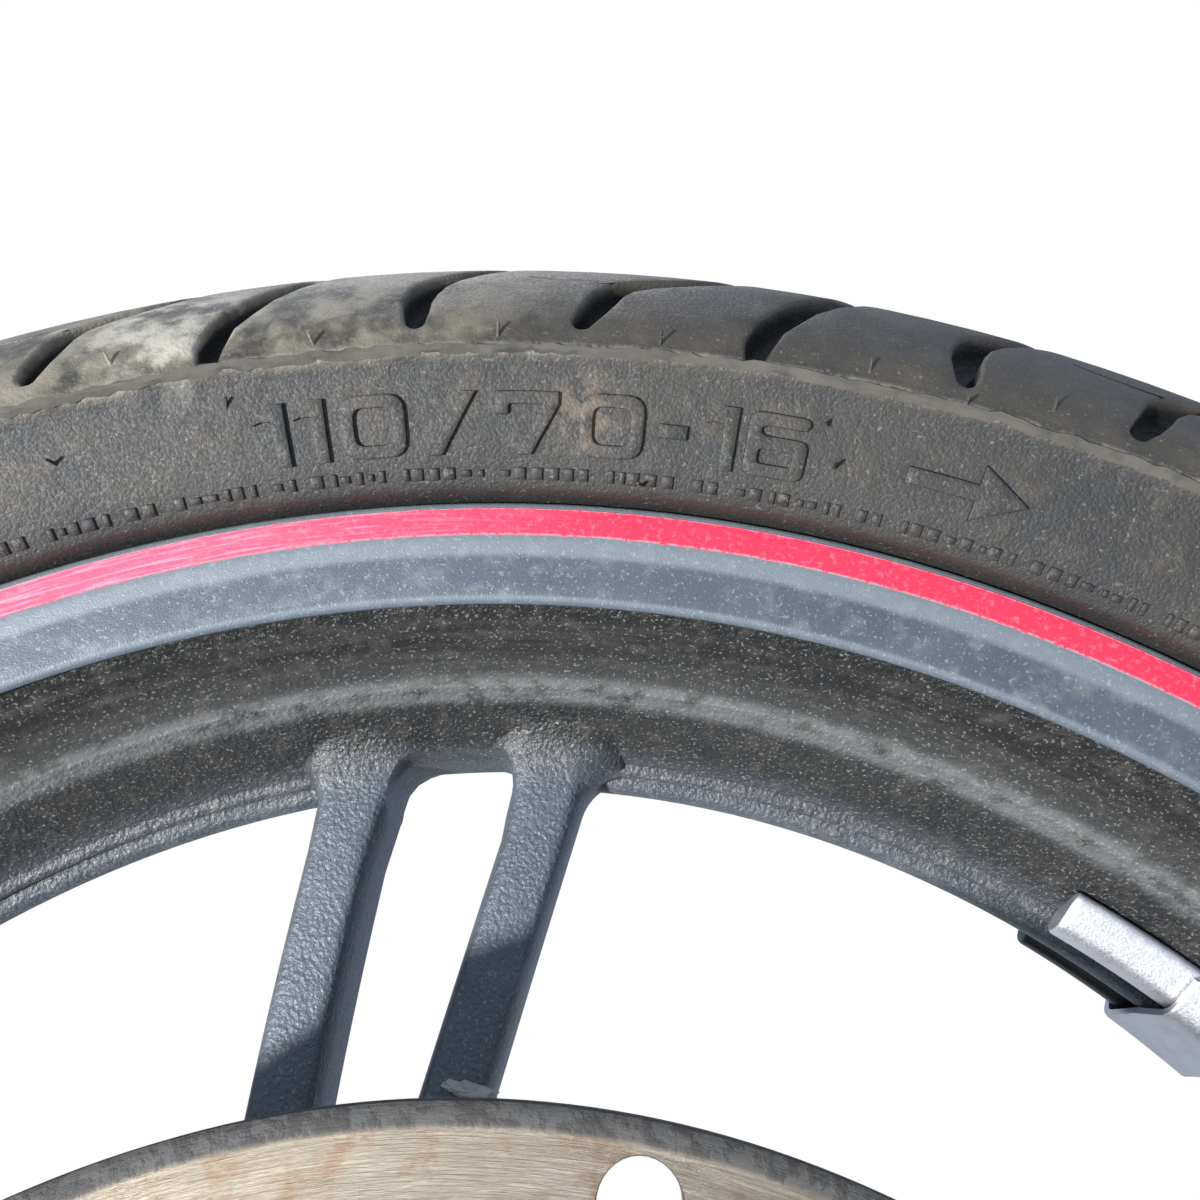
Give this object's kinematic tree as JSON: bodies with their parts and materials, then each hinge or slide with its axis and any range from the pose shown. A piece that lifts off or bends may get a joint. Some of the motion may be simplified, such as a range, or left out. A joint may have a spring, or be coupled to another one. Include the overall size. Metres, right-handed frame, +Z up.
{
  "type": "motorcycle tire",
  "caption": "Tubeless motorcycle front tire on its swept-spoke cast wheel, with drilled brake disc, hub bearings, axle, tire valve and clip-on balance weight.",
  "frame": {"origin": "centre of the wheel, on its axle, in the middle plane of the rim", "axes": "+Y along the axle, away from the brake disc; the disc is on the -Y side; +Z up; the tire valve is at the lowest point"},
  "size_m": [0.5612, 0.196, 0.5612],
  "materials": {
    "tyre_rubber": "matt moulded rubber, dusty brown on the tread",
    "cast_alloy": "dark blue-grey textured powder coat",
    "red_tape": "satin red rim tape",
    "disc_steel": "worn, turned face with fine rings",
    "bolt_steel": "satin",
    "bearing_steel": "ground",
    "seal_rubber": "smooth moulded rubber",
    "zinc_steel": "zinc plated",
    "brass": "turned",
    "cap_plastic": "moulded",
    "weight_metal": "satin silver, plain"
  },
  "bodies": {
    "axle_group": {"axle": "zinc_steel", "axle_nut": "zinc_steel", "axle_washer": "zinc_steel", "side_collar_disc_side": "zinc_steel", "side_collar_far_side": "zinc_steel", "distance_tube": "zinc_steel", "bearing_inner_race_disc_side": "bearing_steel", "bearing_inner_race_far_side": "bearing_steel"},
    "wheel": {"tire": "tyre_rubber", "wheel_casting": "cast_alloy", "rim_stripe_disc_side": "red_tape", "rim_stripe_far_side": "red_tape", "brake_disc": "disc_steel", "disc_bolt_1": "bolt_steel", "disc_bolt_2": "bolt_steel", "disc_bolt_3": "bolt_steel", "disc_bolt_4": "bolt_steel", "disc_bolt_5": "bolt_steel", "bearing_outer_race_disc_side": "bearing_steel", "bearing_shield_outer_disc_side": "seal_rubber", "bearing_shield_inner_disc_side": "seal_rubber", "bearing_outer_race_far_side": "bearing_steel", "bearing_shield_outer_far_side": "seal_rubber", "bearing_shield_inner_far_side": "seal_rubber", "dust_seal_disc_side": "seal_rubber", "dust_seal_far_side": "seal_rubber", "valve_body": "seal_rubber", "valve_stem": "brass", "valve_core": "brass", "valve_spring": "bolt_steel", "balance_weight_disc_side": "weight_metal", "balance_weight_far_side": "weight_metal", "balance_weight_clip": "weight_metal"},
    "balls_disc_side": {"bearing_balls_disc_side": "bearing_steel"},
    "balls_far_side": {"bearing_balls_far_side": "bearing_steel"},
    "valve_pin_body": {"valve_pin": "brass"},
    "valve_cap_body": {"valve_cap": "cap_plastic"}
  },
  "joints": [
    {"name": "wheel_spin", "type": "hinge", "parent": "axle_group", "child": "wheel", "pos_m": [0, 0, 0], "axis": [0, 1, 0], "continuous": true},
    {"name": "balls_spin_disc_side", "type": "hinge", "parent": "axle_group", "child": "balls_disc_side", "pos_m": [0, 0, 0], "axis": [0, 1, 0], "continuous": true},
    {"name": "balls_spin_far_side", "type": "hinge", "parent": "axle_group", "child": "balls_far_side", "pos_m": [0, 0, 0], "axis": [0, 1, 0], "continuous": true},
    {"name": "valve_pin_press", "type": "slide", "parent": "wheel", "child": "valve_pin_body", "axis": [0, 0, -1], "range_m": [0, 0.0015], "stiffness_N_per_m": 1500, "springref_m": -0.001, "deforming": ["valve_spring"]},
    {"name": "valve_cap_lift", "type": "slide", "parent": "wheel", "child": "valve_cap_body", "axis": [0, 0, 1], "range_m": [0, 0.014]}
  ],
  "couplings": [
    {"joint": "balls_spin_disc_side", "follows": "wheel_spin", "ratio": 0.62},
    {"joint": "balls_spin_far_side", "follows": "wheel_spin", "ratio": 0.62}
  ]
}
